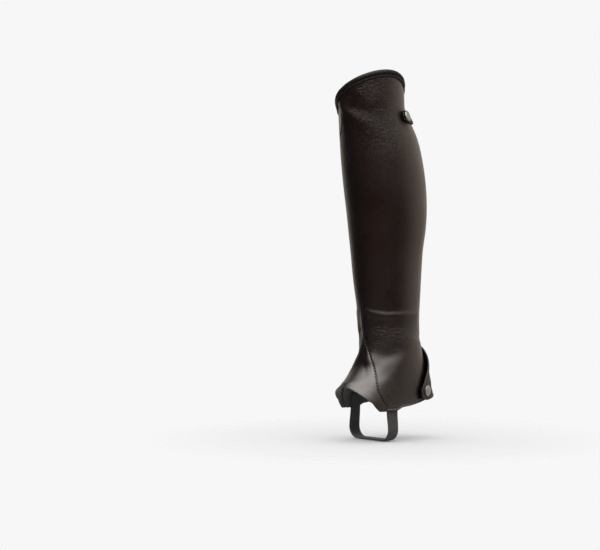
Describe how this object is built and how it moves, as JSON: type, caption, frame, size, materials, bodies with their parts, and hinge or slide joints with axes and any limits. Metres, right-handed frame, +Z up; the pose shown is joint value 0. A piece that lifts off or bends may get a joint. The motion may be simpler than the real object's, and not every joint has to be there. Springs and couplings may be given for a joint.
{
  "type": "half chap",
  "caption": "Tall leather half chap for the left leg, filled out as worn: sloping bound top, back zip with snap tabs above and at the heel, V instep gusset and elastic arch strap.",
  "frame": {"origin": "middle of the leg at the fullest part of the calf, where the wearer's leg holds it", "axes": "+Z up along the leg, -Y the front and the toe, +X the outer side of the left leg"},
  "size_m": [0.1083, 0.1514, 0.5063],
  "materials": {
    "leather": "semi-gloss black smooth leather with a fine grain",
    "zip_tape": "woven black tape",
    "zip_teeth": "moulded black teeth",
    "zip_metal": "dark plated die cast zinc",
    "elastic": "ribbed black elastic webbing",
    "snap_metal": "satin pewter plate"
  },
  "bodies": {
    "chap": {"body_panel": "leather", "instep_gusset": "leather", "top_binding": "leather", "top_tab": "leather", "heel_flap": "leather", "zip_tape_outer": "zip_tape", "zip_tape_inner": "zip_tape", "zip_chain": "zip_teeth", "zip_slider": "zip_metal", "arch_elastic": "elastic", "top_snap": "snap_metal", "top_stud": "snap_metal", "heel_snap": "snap_metal", "heel_stud": "snap_metal"},
    "pull": {"zip_pull": "zip_metal"}
  },
  "joints": [
    {"name": "pull_swing", "type": "hinge", "parent": "chap", "child": "pull", "pos_m": [0, 0.02738, 0.10438], "axis": [1, 0, 0], "range_deg": [0, 130]}
  ]
}
